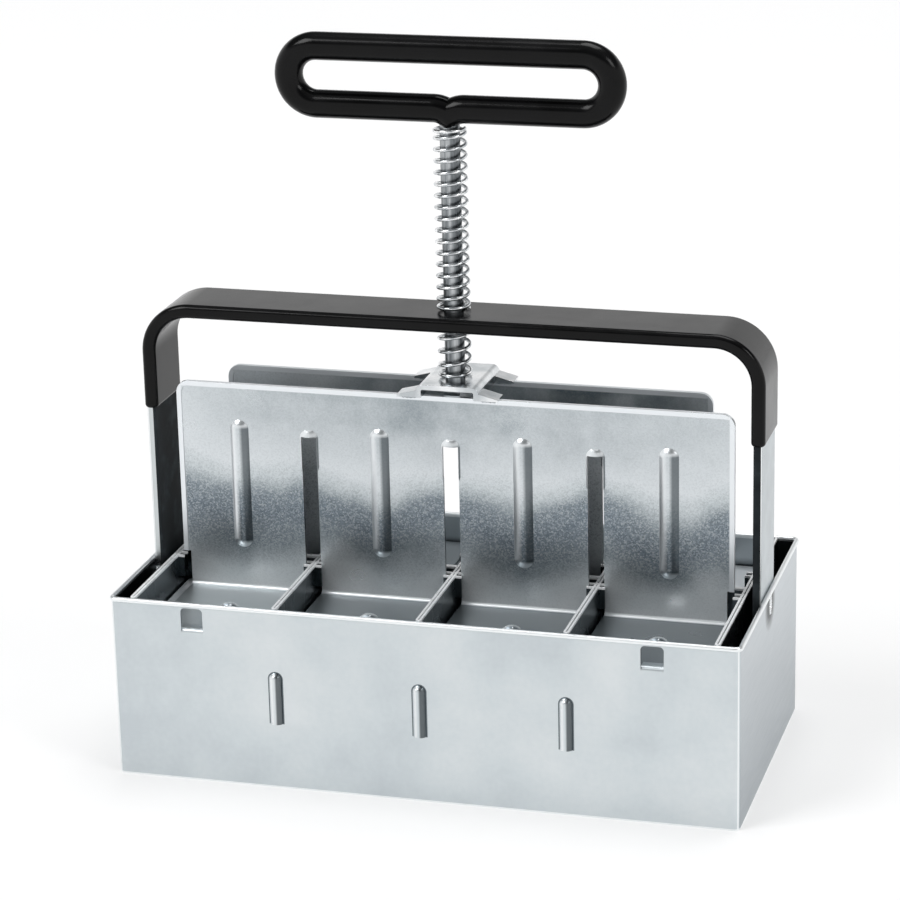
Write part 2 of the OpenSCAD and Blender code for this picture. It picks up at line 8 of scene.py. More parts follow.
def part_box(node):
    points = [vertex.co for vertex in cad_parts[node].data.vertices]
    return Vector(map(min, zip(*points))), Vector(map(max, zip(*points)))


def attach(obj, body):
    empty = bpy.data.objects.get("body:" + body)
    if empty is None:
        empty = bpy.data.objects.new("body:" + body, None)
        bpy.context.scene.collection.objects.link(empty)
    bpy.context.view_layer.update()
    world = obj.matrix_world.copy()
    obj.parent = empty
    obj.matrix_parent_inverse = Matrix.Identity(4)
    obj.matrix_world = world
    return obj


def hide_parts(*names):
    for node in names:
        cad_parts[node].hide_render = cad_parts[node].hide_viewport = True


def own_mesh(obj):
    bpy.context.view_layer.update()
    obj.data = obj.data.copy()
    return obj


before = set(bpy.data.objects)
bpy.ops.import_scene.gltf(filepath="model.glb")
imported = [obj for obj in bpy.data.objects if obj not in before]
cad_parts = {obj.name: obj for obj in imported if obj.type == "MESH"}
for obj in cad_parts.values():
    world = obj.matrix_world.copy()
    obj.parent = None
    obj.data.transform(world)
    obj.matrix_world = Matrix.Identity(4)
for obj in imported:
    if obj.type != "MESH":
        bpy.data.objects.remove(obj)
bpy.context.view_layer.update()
MM = 0.001


# ---------------------------------------------------------------- camera
# Catalogue view from the front right and a little above, with a long lens. The
# place, the turn and the lens were fitted to the tool's corners in the picture.

camera_place = Vector((304.6, -1068.3, 482.5)) * MM
camera_turn = math.radians(16.044)
camera_dip = math.radians(18.5)
camera_roll = math.radians(-1.369)
frame_width_px = 900.0
focal_length_px = 3324.7

ahead = Vector((-math.sin(camera_turn) * math.cos(camera_dip),
                math.cos(camera_turn) * math.cos(camera_dip), -math.sin(camera_dip)))
level = Vector((math.cos(camera_turn), math.sin(camera_turn), 0.0))
above = level.cross(ahead)
right = math.cos(camera_roll) * level + math.sin(camera_roll) * above
upward = math.cos(camera_roll) * above - math.sin(camera_roll) * level
camera_data = bpy.data.cameras.new("camera")
camera_data.sensor_width = 36.0
camera_data.lens = focal_length_px / frame_width_px * camera_data.sensor_width
camera_data.clip_end = 50.0
camera = bpy.data.objects.new("camera", camera_data)
bpy.context.scene.collection.objects.link(camera)
camera.matrix_world = Matrix((
    (right.x, upward.x, -ahead.x, camera_place.x),
    (right.y, upward.y, -ahead.y, camera_place.y),
    (right.z, upward.z, -ahead.z, camera_place.z),
    (0.0, 0.0, 0.0, 1.0)))
bpy.context.scene.camera = camera
bpy.context.scene.view_settings.view_transform = "Standard"


# ---------------------------------------------------------------- studio
# White product studio: a matt floor that keeps the shadow, white walls low
# down, a dim ceiling, and large soft lamps on the left, on the right and above.

def linear(code):
    """Turns an sRGB hex colour, or a plain amount that a ramp gives, into the linear
    colour that a shader takes."""
    if not isinstance(code, str):
        return (code, code, code, 1.0)
    levels = [int(code[i:i + 2], 16) / 255.0 for i in (1, 3, 5)]
    return tuple(v / 12.92 if v <= 0.04045 else ((v + 0.055) / 1.055) ** 2.4
                 for v in levels) + (1.0,)


def add_node(tree, kind, inputs=None, out=0, stops=(), **settings):
    """Adds a node with its settings, sets or links its inputs, and gives one
    output, or the node where out is None. The stops of a ramp are given as
    (place, hex colour) or (place, amount)."""
    node = tree.nodes.new(kind)
    for name, value in settings.items():
        setattr(node, name, value)
    if stops:
        ramp = node.color_ramp.elements
        for end, (place, code) in ((ramp[0], stops[0]), (ramp[1], stops[-1])):
            end.position = place
            end.color = linear(code)
        for place, code in stops[1:-1]:
            ramp.new(place).color = linear(code)
    for socket, value in (inputs or {}).items():
        if isinstance(value, bpy.types.NodeSocket):
            tree.links.new(value, node.inputs[socket])
        else:
            node.inputs[socket].default_value = value
    return node if out is None or not node.outputs else node.outputs[out]


def new_tree(name):
    """Starts a material and gives it with its empty node tree."""
    material = bpy.data.materials.new(name)
    material.use_nodes = True
    material.node_tree.nodes.clear()
    return material, material.node_tree


# Walls are white up to about 20 degrees; above them the ceiling is dim.
world = bpy.data.worlds.new("studio_room")
bpy.context.scene.world = world
world.use_nodes = True
room = world.node_tree
room.nodes.clear()
toward = add_node(room, "ShaderNodeTexCoord", out="Generated")
rise = add_node(room, "ShaderNodeSeparateXYZ", {0: toward}, "Z")
shade = add_node(room, "ShaderNodeValToRGB", {"Fac": rise}, stops=[
    (0.0, "#ffffff"), (0.33, "#ffffff"), (0.48, "#5a5c5e"), (0.7, "#646668"), (1.0, "#b4b5b6")])
glow = add_node(room, "ShaderNodeBackground", {"Color": shade, "Strength": 1.0})
add_node(room, "ShaderNodeOutputWorld", {"Surface": glow})

floor_half = 6.0                            # metres
floor_mesh = bpy.data.meshes.new("floor")
floor_mesh.from_pydata([(-floor_half, -floor_half, 0.0), (floor_half, -floor_half, 0.0),
                        (floor_half, floor_half, 0.0), (-floor_half, floor_half, 0.0)],
                       [], [(0, 1, 2, 3)])
floor = bpy.data.objects.new("floor", floor_mesh)
bpy.context.scene.collection.objects.link(floor)

# Matt white sweep. What sees it directly or in a reflection gets white, of
# which shadow_share can be shaded; to soft light it is plain white paper.
shadow_share = 0.565
floor_white, paper = new_tree("matt_white_sweep")
rays = add_node(paper, "ShaderNodeLightPath", out=None)
seen = add_node(paper, "ShaderNodeMath", {
    0: rays.outputs["Is Camera Ray"], 1: rays.outputs["Is Glossy Ray"]}, operation="MAXIMUM")
seen = add_node(paper, "ShaderNodeMath", {
    0: seen, 1: rays.outputs["Is Transmission Ray"]}, operation="MAXIMUM")
matt = add_node(paper, "ShaderNodeBsdfDiffuse", {"Color": linear("#f2f2f2")})
shaded = add_node(paper, "ShaderNodeBsdfDiffuse", {"Color": linear("#c4c4c4")})
white = add_node(paper, "ShaderNodeEmission", {
    "Color": linear("#ffffff"), "Strength": 1.0 - shadow_share})
lit = add_node(paper, "ShaderNodeAddShader", {0: shaded, 1: white})
shown = add_node(paper, "ShaderNodeMixShader", {0: seen, 1: matt, 2: lit})
add_node(paper, "ShaderNodeOutputMaterial", {"Surface": shown})
floor_mesh.materials.append(floor_white)

lamp_aim = Vector((0.0, 0.0, 0.1))          # metres


def soft_lamp(name, place, size, watts):
    """Adds one square soft lamp, size metres wide, that points at the object."""
    data = bpy.data.lights.new(name, "AREA")
    data.shape = "SQUARE"
    data.size = size
    data.energy = watts
    lamp = bpy.data.objects.new(name, data)
    bpy.context.scene.collection.objects.link(lamp)
    lamp.location = place
    lamp.rotation_euler = (lamp_aim - Vector(place)).to_track_quat("-Z", "Y").to_euler()


soft_lamp("key_lamp", (-3.0, -2.6, 4.4), 2.4, 136.0)
soft_lamp("side_lamp", (4.0, -1.8, 3.4), 1.6, 48.0)
soft_lamp("top_lamp", (0.4, 1.4, 5.6), 3.0, 136.0)


# ---------------------------------------------------------------- box
# Galvanised steel sheet of 1 mm, folded into a box, with a hem rolled out round
# the rim, two stop windows and three pressed lugs in each long wall.

MIX_A, MIX_B, MIX_RESULT = 6, 7, 2          # colour sockets of a Mix node
noise_low, noise_high = 0.3, 0.7            # where nearly all of a noise lies
merge_gap = 0.002 * MM
flat_angle = math.radians(0.5)              # edges flatter than this are dissolved
sharp_angle = math.radians(35.0)            # edges sharper than this are rounded
face_weight = 100                           # how far large faces decide the normals
cell_pitch = 52.0 * MM                      # from one divider, and one lug, to the next
cells_half = 104.0 * MM
end_shade_top = 60.0 * MM                        # the painted shade of the ends changes up to this height
end_slope = 0.9                             # a face that looks further along x is an end
heat_place = (112.0 * MM, 0.0, 62.0 * MM)
heat_core = 5.0 * MM                        # the tint is full this near to heat_place
heat_reach = 10.0 * MM                      # and gone this far from it
facing_in = -20.0 * MM                      # normal . place of a face that looks inward
wall_shade_top = 54.0 * MM                       # the painted shade in the cells is full up to here
wall_shade_end = 58.0 * MM                       # and gone from here up
lugs_half = 85.0 * MM                       # the lugs stand nearer to the middle than this
lug_cut = 2.5 * MM                          # from a lug's middle to the cut beside it
lug_cut_line = 0.25 * MM
lug_foot = 24.3 * MM
lug_shoulder = 41.1 * MM                    # here the cut starts to go round the lug's top
# How wide the painted highlights are on the corners, the rim and the bottom edge.
corner_highlight = 1.6 * MM
corner_y = 54.2 * MM
rim_highlight = 1.5 * MM
bottom_highlight = 0.6 * MM


def plain_mesh(piece):
    """Turns a piece with modifiers into the plain mesh that they make."""
    graph = bpy.context.evaluated_depsgraph_get()
    mesh = bpy.data.meshes.new_from_object(piece.evaluated_get(graph),
                                           preserve_all_data_layers=True, depsgraph=graph)
    piece.modifiers.clear()
    return mesh


def softened(node_name, edge_mm, material, body, segments=2):
    """Puts a copy of a CAD node, with its sharp edges rounded, in the node's place."""
    piece = bpy.data.objects.new(node_name + "_finished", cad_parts[node_name].data.copy())
    bpy.context.scene.collection.objects.link(piece)
    shape = bmesh.new()
    shape.from_mesh(piece.data)
    bmesh.ops.remove_doubles(shape, verts=shape.verts, dist=merge_gap)
    bmesh.ops.dissolve_limit(shape, angle_limit=flat_angle, verts=shape.verts,
                             edges=shape.edges)
    for face in shape.faces:
        face.smooth = True
    shape.to_mesh(piece.data)
    shape.free()
    if "custom_normal" in piece.data.attributes:
        piece.data.attributes.remove(piece.data.attributes["custom_normal"])
    bevel = piece.modifiers.new("edges", "BEVEL")
    bevel.width = edge_mm * MM
    bevel.segments = segments
    bevel.limit_method = "ANGLE"
    bevel.angle_limit = sharp_angle
    normals = piece.modifiers.new("flat_faces_stay_flat", "WEIGHTED_NORMAL")
    normals.weight = face_weight
    piece.data = plain_mesh(piece)
    piece.data.materials.clear()
    piece.data.materials.append(material)
    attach(piece, body)
    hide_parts(node_name)


def satin_zinc():
    """Galvanised cold-rolled sheet, satin and clouded over 38 mm, with its rolling grain drawn at
    0.7 mm so that it shows. The rim, the corners and the bottom edge carry painted highlights,
    the end faces and the walls down in the cells carry painted shade, and each lug has painted
    shade on one flank and a painted highlight on the other."""
    material, tree = new_tree("satin_zinc_sheet")
    place = add_node(tree, "ShaderNodeTexCoord", out="Object")
    axis = add_node(tree, "ShaderNodeSeparateXYZ", {0: place}, None).outputs
    facing = add_node(tree, "ShaderNodeTexCoord", out="Normal")
    slope = add_node(tree, "ShaderNodeSeparateXYZ", {0: facing}, "X")
    broad = add_node(tree, "ShaderNodeTexNoise", {
        "Vector": place, "Scale": 1.0 / (38.0 * MM), "Detail": 3.0}, "Fac")
    fine = add_node(tree, "ShaderNodeTexNoise", {
        "Vector": place, "Scale": 1.0 / (2.2 * MM), "Detail": 4.0}, "Fac")
    drawn_out = add_node(tree, "ShaderNodeMapping", {"Vector": place, "Scale": (0.06, 0.06, 1.0)})
    grain = add_node(tree, "ShaderNodeTexNoise", {
        "Vector": drawn_out, "Scale": 1.0 / (0.7 * MM), "Detail": 2.0}, "Fac")
    patch = add_node(tree, "ShaderNodeMath", {0: fine, 1: 0.2, 2: broad},
                     operation="MULTIPLY_ADD")
    colour = add_node(tree, "ShaderNodeValToRGB", {"Fac": patch}, stops=[
        (0.4, "#c2c9cd"), (0.6, "#ccd3d6"), (0.8, "#d6dbdd")])
    # The end faces are painted darker as painted shade, more so low down, and their seam is
    # tinted by the weld's heat.
    ends = add_node(tree, "ShaderNodeMath", {0: slope}, operation="ABSOLUTE")
    ends = add_node(tree, "ShaderNodeMath", {0: ends, 1: end_slope}, operation="GREATER_THAN")
    height = add_node(tree, "ShaderNodeMapRange", {"Value": axis["Z"], "From Max": end_shade_top})
    end_shade_and_heat_tint = add_node(tree, "ShaderNodeValToRGB", {"Fac": height}, stops=[
        (0.0, "#a2a9ae"), (1.0, "#c0c6ca")])
    heat = add_node(tree, "ShaderNodeVectorMath", {0: place, 1: heat_place}, "Value",
                    operation="DISTANCE")
    heat = add_node(tree, "ShaderNodeMapRange", {
        "Value": heat, "From Min": heat_reach, "From Max": heat_core, "To Max": 0.95})
    end_shade_and_heat_tint = add_node(tree, "ShaderNodeMix", {
        0: heat, MIX_A: end_shade_and_heat_tint, MIX_B: linear("#22282c")}, MIX_RESULT, data_type="RGBA")
    colour = add_node(tree, "ShaderNodeMix", {
        0: ends, MIX_A: colour, MIX_B: end_shade_and_heat_tint}, MIX_RESULT, data_type="RGBA")
    # The inside walls are painted dark in the cells, up to the feet of the ejectors: painted
    # shade.
    outward = add_node(tree, "ShaderNodeVectorMath", {0: facing, 1: place}, "Value",
                       operation="DOT_PRODUCT")
    inside = add_node(tree, "ShaderNodeMath", {0: outward, 1: facing_in}, operation="LESS_THAN")
    reach = add_node(tree, "ShaderNodeMath", {0: axis["X"]}, operation="ABSOLUTE")
    in_cells = add_node(tree, "ShaderNodeMath", {0: reach, 1: cells_half}, operation="LESS_THAN")
    wall_shade_fade = add_node(tree, "ShaderNodeMapRange", {
        "Value": axis["Z"], "From Min": wall_shade_top, "From Max": wall_shade_end})
    wall_shade_fade = add_node(tree, "ShaderNodeMath", {0: wall_shade_fade, 1: in_cells}, operation="MULTIPLY")
    wall_shade_tone = add_node(tree, "ShaderNodeMix", {
        0: wall_shade_fade, MIX_A: linear("#434a4e"), MIX_B: linear("#b9c0c4")}, MIX_RESULT,
        data_type="RGBA")
    colour = add_node(tree, "ShaderNodeMix", {
        0: inside, MIX_A: colour, MIX_B: wall_shade_tone}, MIX_RESULT, data_type="RGBA")
    # Each pressed lug is sheared along its sides, over the tab of a divider: a dark cut, with
    # painted shade on the flank that faces +x and a painted highlight on the flank that faces -x,
    # by their slope.
    inboard = add_node(tree, "ShaderNodeMath", {0: reach, 1: lugs_half}, operation="LESS_THAN")
    from_lug = add_node(tree, "ShaderNodeMath", {0: axis["X"], 1: cell_pitch / 2.0},
                        operation="PINGPONG")
    over_lug = add_node(tree, "ShaderNodeMath", {0: axis["Z"], 1: lug_shoulder},
                        operation="SUBTRACT")
    over_lug = add_node(tree, "ShaderNodeMath", {0: over_lug, 1: 0.0}, operation="MAXIMUM")
    around = add_node(tree, "ShaderNodeCombineXYZ", {"X": from_lug, "Y": over_lug})
    around = add_node(tree, "ShaderNodeVectorMath", {0: around}, "Value", operation="LENGTH")
    beside = add_node(tree, "ShaderNodeMath", {0: around, 1: lug_cut, 2: lug_cut_line},
                      operation="COMPARE")
    over_foot = add_node(tree, "ShaderNodeMath", {0: axis["Z"], 1: lug_foot},
                         operation="GREATER_THAN")
    cut = add_node(tree, "ShaderNodeMath", {0: beside, 1: over_foot}, operation="MULTIPLY")
    cut = add_node(tree, "ShaderNodeMath", {0: cut, 1: inboard}, operation="MULTIPLY")
    colour = add_node(tree, "ShaderNodeMix", {
        0: cut, MIX_A: colour, MIX_B: linear("#6b7378")}, MIX_RESULT, data_type="RGBA")
    for low, high, flank in ((0.04, 0.3, "#3d4448"), (-0.08, -0.5, "#f4f6f7")):
        amount = add_node(tree, "ShaderNodeMapRange", {
            "Value": slope, "From Min": low, "From Max": high, "To Max": 0.85})
        amount = add_node(tree, "ShaderNodeMath", {0: amount, 1: inboard}, operation="MULTIPLY")
        colour = add_node(tree, "ShaderNodeMix", {
            0: amount, MIX_A: colour, MIX_B: linear(flank)}, MIX_RESULT, data_type="RGBA")
    # Painted highlights on the rim, the bottom edge and the upright corners.
    box_high = Vector(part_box("box_shell")[1])
    depth = add_node(tree, "ShaderNodeMath", {0: axis["Y"]}, operation="ABSOLUTE")
    over_x = add_node(tree, "ShaderNodeMath", {0: reach, 1: box_high.x - corner_highlight},
                      operation="GREATER_THAN")
    over_y = add_node(tree, "ShaderNodeMath", {0: depth, 1: corner_y}, operation="GREATER_THAN")
    corner = add_node(tree, "ShaderNodeMath", {0: over_x, 1: over_y}, operation="MULTIPLY")
    rim = add_node(tree, "ShaderNodeMath", {0: axis["Z"], 1: box_high.z - rim_highlight},
                   operation="GREATER_THAN")
    bottom = add_node(tree, "ShaderNodeMath", {0: axis["Z"], 1: bottom_highlight},
                      operation="LESS_THAN")
    edge_highlight = add_node(tree, "ShaderNodeMath", {0: rim, 1: bottom}, operation="MAXIMUM")
    edge_highlight = add_node(tree, "ShaderNodeMath", {0: edge_highlight, 1: corner}, operation="MAXIMUM")
    colour = add_node(tree, "ShaderNodeMix", {
        0: edge_highlight, MIX_A: colour, MIX_B: linear("#f1f4f5")}, MIX_RESULT, data_type="RGBA")
    gloss = add_node(tree, "ShaderNodeMapRange", {
        "Value": grain, "From Min": noise_low, "From Max": noise_high, "To Min": 0.31,
        "To Max": 0.37})
    bump = add_node(tree, "ShaderNodeBump", {
        "Height": grain, "Distance": 0.01 * MM, "Strength": 0.05})
    metal = add_node(tree, "ShaderNodeBsdfPrincipled", {
        "Base Color": colour, "Roughness": gloss, "Metallic": 1.0, "Normal": bump})
    add_node(tree, "ShaderNodeOutputMaterial", {"Surface": metal})
    return material


softened("box_shell", 0.15, satin_zinc(), "frame")


# ---------------------------------------------------------------- dividers
# Folded double sheet, half-lapped into an egg-crate. Inside the box the zinc is painted darker
# with depth, as painted shade in the cells, and the top edges carry a painted highlight.

rim_height = 67.0 * MM
cut_edge = 0.9 * MM                         # the pale line of painted highlight reaches this far below the rim
cut_edge_full = 0.6 * MM
cell_shade_low = 30.0 * MM                         # the painted shade in the cells is darkest below this
cell_shade_high = 76.0 * MM                        # and palest above this
cell_shade_wander = 16.0 * MM


def cell_zinc():
    """Dull galvanised sheet, painted darker with depth in patches of 17 mm, as painted shade in
    the cells. The cut upper edge is too narrow to model rounded, so what light it catches from
    all round is drawn as a pale line, with less mirror."""
    material, tree = new_tree("dull_zinc_sheet")
    place = add_node(tree, "ShaderNodeTexCoord", out="Object")
    height = add_node(tree, "ShaderNodeSeparateXYZ", {0: place}, "Z")
    broad = add_node(tree, "ShaderNodeTexNoise", {
        "Vector": place, "Scale": 1.0 / (17.0 * MM), "Detail": 2.0}, "Fac")
    wander = add_node(tree, "ShaderNodeMath", {0: broad, 1: cell_shade_wander, 2: height},
                      operation="MULTIPLY_ADD")
    depth_lightness = add_node(tree, "ShaderNodeMapRange", {
        "Value": wander, "From Min": cell_shade_low, "From Max": cell_shade_high})
    colour = add_node(tree, "ShaderNodeValToRGB", {"Fac": depth_lightness}, stops=[
        (0.0, "#2c3236"), (0.55, "#474f53"), (1.0, "#6b7377")])
    edge = add_node(tree, "ShaderNodeMapRange", {
        "Value": height, "From Min": rim_height - cut_edge,
        "From Max": rim_height - cut_edge_full})
    colour = add_node(tree, "ShaderNodeMix", {
        0: edge, MIX_A: colour, MIX_B: linear("#f2f4f5")}, MIX_RESULT, data_type="RGBA")
    shine = add_node(tree, "ShaderNodeMapRange", {"Value": edge, "To Min": 1.0, "To Max": 0.2})
    gloss = add_node(tree, "ShaderNodeMapRange", {
        "Value": broad, "From Min": noise_low, "From Max": noise_high, "To Min": 0.22,
        "To Max": 0.34})
    bump = add_node(tree, "ShaderNodeBump", {
        "Height": broad, "Distance": 0.1 * MM, "Strength": 0.2})
    metal = add_node(tree, "ShaderNodeBsdfPrincipled", {
        "Base Color": colour, "Roughness": gloss, "Metallic": shine, "Normal": bump})
    add_node(tree, "ShaderNodeOutputMaterial", {"Surface": metal})
    return material


def dress(material, *node_names):
    """Puts a material on CAD nodes whose own shape is kept."""
    for name in node_names:
        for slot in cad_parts[name].material_slots:
            slot.material = material


dress(cell_zinc(), "divider_left", "divider_middle", "divider_right", "end_liner_left",
      "end_liner_right", "centre_wall")


# ---------------------------------------------------------------- ejectors
# Hot-dip galvanised sheet of 1 mm with a hemmed edge, pressed ribs and slots, bent at the foot. A
# grey band above the cells is painted reflection.

web_top = 133.0 * MM
foot_top = 56.0 * MM
hem_width = 1.8 * MM
web_half = {"front": 101.0 * MM, "rear": 89.0 * MM}
web_rough = {"front": 0.26, "rear": 0.42}
rough_spread = 0.1
web_shine = {"front": (0.7, 1.0), "rear": (0.62, 0.62)}
band_low = 71.0 * MM                        # where the tones of the band begin
band_high = web_top + 16.0 * MM             # and where they end
band_arch = 9.0 * MM                        # how much lower the band hangs at mid cell
band_wander = 24.0 * MM
top_darkening_low = web_top - 30.0 * MM           # the darkening of the top sets in here
top_darkening_full = web_top - 12.0 * MM          # and is full from here up
# Tones by height: on the front web a painted reflection, a dark grey band over bright sheet, and
# on the rear web painted light, paler towards the top.
web_painted_light_tones = {
    "front": [(0.0, "#f6f8f9"), (0.15, "#e2e7e9"), (0.28, "#98a1a7"), (0.41, "#76818a"),
              (0.5, "#848e95"), (0.58, "#c3cacd"), (0.66, "#d6dbde"), (1.0, "#cbd1d4")],
    "rear": [(0.0, "#c9ced1"), (0.3, "#d0d5d8"), (0.6, "#dce1e4"), (0.86, "#e4e8ea"),
             (1.0, "#dce1e4")]}
# How far the top is darkened, at places from the left end of the web to its right.
web_top_darkening = {
    "front": [(0.0, 0.0), (0.17, 0.3), (0.35, 0.42), (0.5, 0.6), (0.62, 0.5), (0.78, 0.32),
              (1.0, 0.1)],
    "rear": [(0.0, 0.0), (0.12, 0.05), (0.3, 0.55), (0.5, 0.75), (0.85, 0.8), (1.0, 0.3)]}
foot_dull = foot_top + 0.1 * MM             # the foot's own tone is full up to here
foot_bright = foot_top + 0.3 * MM
hem_inner = -0.3 * MM                       # its tone sets in here, from the inner edge
hem_full = 0.2 * MM
foot_tones = [(0.0, "#bcc3c6"), (0.24, "#b4bbbe"), (0.27, "#8b9296"), (1.0, "#80878b")]


def spangled_zinc(row):
    """Hot-dip zinc with crystals that are drawn at 0.45 mm. Its tones by height are painted
    light: on the front web a grey band of painted reflection that wanders, bright above and below
    it, and on the rear web paler towards the top. The top of the web is darkened in clouds of 16
    mm, and the hem and the rounded ends of the ribs carry painted highlights. A dull oxide film
    low down, and all over the rear web, takes some shine."""
    material, tree = new_tree("spangled_zinc_" + row)
    place = add_node(tree, "ShaderNodeTexCoord", out="Object")
    axis = add_node(tree, "ShaderNodeSeparateXYZ", {0: place}, None).outputs
    facing = add_node(tree, "ShaderNodeTexCoord", out="Normal")
    slope = add_node(tree, "ShaderNodeSeparateXYZ", {0: facing}, None).outputs
    broad = add_node(tree, "ShaderNodeTexNoise", {
        "Vector": place, "Scale": 1.0 / (30.0 * MM), "Detail": 2.0}, "Fac")
    halves = add_node(tree, "ShaderNodeMath", {0: axis["X"], 1: cell_pitch / 2.0},
                      operation="DIVIDE")
    middle = add_node(tree, "ShaderNodeMath", {0: halves, 1: 1.0}, operation="PINGPONG")
    lifted = add_node(tree, "ShaderNodeMath", {0: middle, 1: band_arch, 2: axis["Z"]},
                      operation="MULTIPLY_ADD")
    wander = add_node(tree, "ShaderNodeMath", {0: broad, 1: band_wander, 2: lifted},
                      operation="MULTIPLY_ADD")
    band = add_node(tree, "ShaderNodeMapRange", {
        "Value": wander, "From Min": band_low, "From Max": band_high})
    colour = add_node(tree, "ShaderNodeValToRGB", {"Fac": band}, stops=web_painted_light_tones[row])
    along = add_node(tree, "ShaderNodeMapRange", {
        "Value": axis["X"], "From Min": -web_half[row], "From Max": web_half[row]})
    top_darkening = add_node(tree, "ShaderNodeValToRGB", {"Fac": along}, stops=web_top_darkening[row])
    clouds = add_node(tree, "ShaderNodeTexNoise", {
        "Vector": place, "Scale": 1.0 / (16.0 * MM), "Detail": 3.0}, "Fac")
    clouds = add_node(tree, "ShaderNodeMapRange", {
        "Value": clouds, "From Min": 0.35, "From Max": 0.65, "To Min": 0.55, "To Max": 1.35})
    upper = add_node(tree, "ShaderNodeMapRange", {
        "Value": axis["Z"], "From Min": top_darkening_low, "From Max": top_darkening_full})
    upper = add_node(tree, "ShaderNodeMath", {0: upper, 1: clouds}, operation="MULTIPLY")
    top_darkening = add_node(tree, "ShaderNodeMath", {0: top_darkening, 1: upper}, operation="MULTIPLY")
    colour = add_node(tree, "ShaderNodeMix", {
        0: top_darkening, MIX_A: colour, MIX_B: linear("#7e888e")}, MIX_RESULT, data_type="RGBA")
    crystal = add_node(tree, "ShaderNodeTexVoronoi", {
        "Vector": place, "Scale": 1.0 / (0.45 * MM)}, "Color")
    speckle = add_node(tree, "ShaderNodeSeparateColor", {"Color": crystal})
    dull = add_node(tree, "ShaderNodeValToRGB", {"Fac": band}, stops=[
        (0.12, 0.25), (0.32, 1.0), (0.5, 1.0), (0.68, 0.3)])
    for low, high, most, tone in ((0.5, 1.0, 0.3, "#eef1f3"), (0.5, 0.0, 0.26, "#2a3237")):
        amount = add_node(tree, "ShaderNodeMapRange", {
            "Value": speckle, "From Min": low, "From Max": high, "To Max": most})
        amount = add_node(tree, "ShaderNodeMath", {0: amount, 1: dull}, operation="MULTIPLY")
        colour = add_node(tree, "ShaderNodeMix", {
            0: amount, MIX_A: colour, MIX_B: linear(tone)}, MIX_RESULT, data_type="RGBA")
    # Painted shade on the flank of each rib that faces +x, and a painted highlight on the flank
    # that faces -x, by their slope.
    for low, high, flank in ((0.04, 0.3, "#4a5257"), (-0.06, -0.4, "#eef1f3")):
        amount = add_node(tree, "ShaderNodeMapRange", {
            "Value": slope["X"], "From Min": low, "From Max": high, "To Max": 0.8})
        colour = add_node(tree, "ShaderNodeMix", {
            0: amount, MIX_A: colour, MIX_B: linear(flank)}, MIX_RESULT, data_type="RGBA")
    # Smooth foot, lighter in the left cell than in the others, with painted highlights on the
    # bend and the ribs' ends.
    tilt = add_node(tree, "ShaderNodeMath", {0: slope["Z"]}, operation="ABSOLUTE")
    bend_highlight = add_node(tree, "ShaderNodeMapRange", {
        "Value": tilt, "From Min": 0.1, "From Max": 0.35, "To Max": 0.9})
    colour = add_node(tree, "ShaderNodeMix", {
        0: bend_highlight, MIX_A: colour, MIX_B: linear("#edf1f3")}, MIX_RESULT, data_type="RGBA")
    foot = add_node(tree, "ShaderNodeMapRange", {
        "Value": axis["Z"], "From Min": foot_bright, "From Max": foot_dull})
    foot_tone = add_node(tree, "ShaderNodeValToRGB", {"Fac": along}, stops=foot_tones)
    colour = add_node(tree, "ShaderNodeMix", {
        0: foot, MIX_A: colour, MIX_B: foot_tone}, MIX_RESULT, data_type="RGBA")
    # Painted highlight along the hem at the top and both sides.
    reach = add_node(tree, "ShaderNodeMath", {0: axis["X"]}, operation="ABSOLUTE")
    side = add_node(tree, "ShaderNodeMath", {0: reach, 1: web_half[row] - hem_width},
                    operation="SUBTRACT")
    top = add_node(tree, "ShaderNodeMath", {0: axis["Z"], 1: web_top - hem_width},
                   operation="SUBTRACT")
    hem = add_node(tree, "ShaderNodeMath", {0: side, 1: top}, operation="MAXIMUM")
    hem = add_node(tree, "ShaderNodeMapRange", {
        "Value": hem, "From Min": hem_inner, "From Max": hem_full})
    colour = add_node(tree, "ShaderNodeMix", {
        0: hem, MIX_A: colour, MIX_B: linear("#e9edf0")}, MIX_RESULT, data_type="RGBA")
    gloss = add_node(tree, "ShaderNodeMapRange", {
        "Value": broad, "From Min": noise_low, "From Max": noise_high,
        "To Min": web_rough[row], "To Max": web_rough[row] + rough_spread})
    shine_low, shine_high = web_shine[row]
    shine = add_node(tree, "ShaderNodeMapRange", {
        "Value": band, "From Min": 0.05, "From Max": 0.32, "To Min": shine_low,
        "To Max": shine_high})
    bump = add_node(tree, "ShaderNodeBump", {
        "Height": speckle, "Distance": 0.01 * MM, "Strength": 0.08})
    metal = add_node(tree, "ShaderNodeBsdfPrincipled", {
        "Base Color": colour, "Roughness": gloss, "Metallic": shine, "Normal": bump})
    add_node(tree, "ShaderNodeOutputMaterial", {"Surface": metal})
    return material


front_web_zinc = spangled_zinc("front")
rear_web_zinc = spangled_zinc("rear")
web_edge_mm = 0.22
softened("ejector_front", web_edge_mm, front_web_zinc, "plunger")
softened("ejector_rear", web_edge_mm, rear_web_zinc, "plunger")
dress(rear_web_zinc, "pusher_plates_front", "pusher_plates_rear")


# ---------------------------------------------------------------- fittings
# Saddle, pins, washer, nut and the grip's core, turned and pressed from steel and
# plated with bright zinc, and the plunger rod of drawn bar.

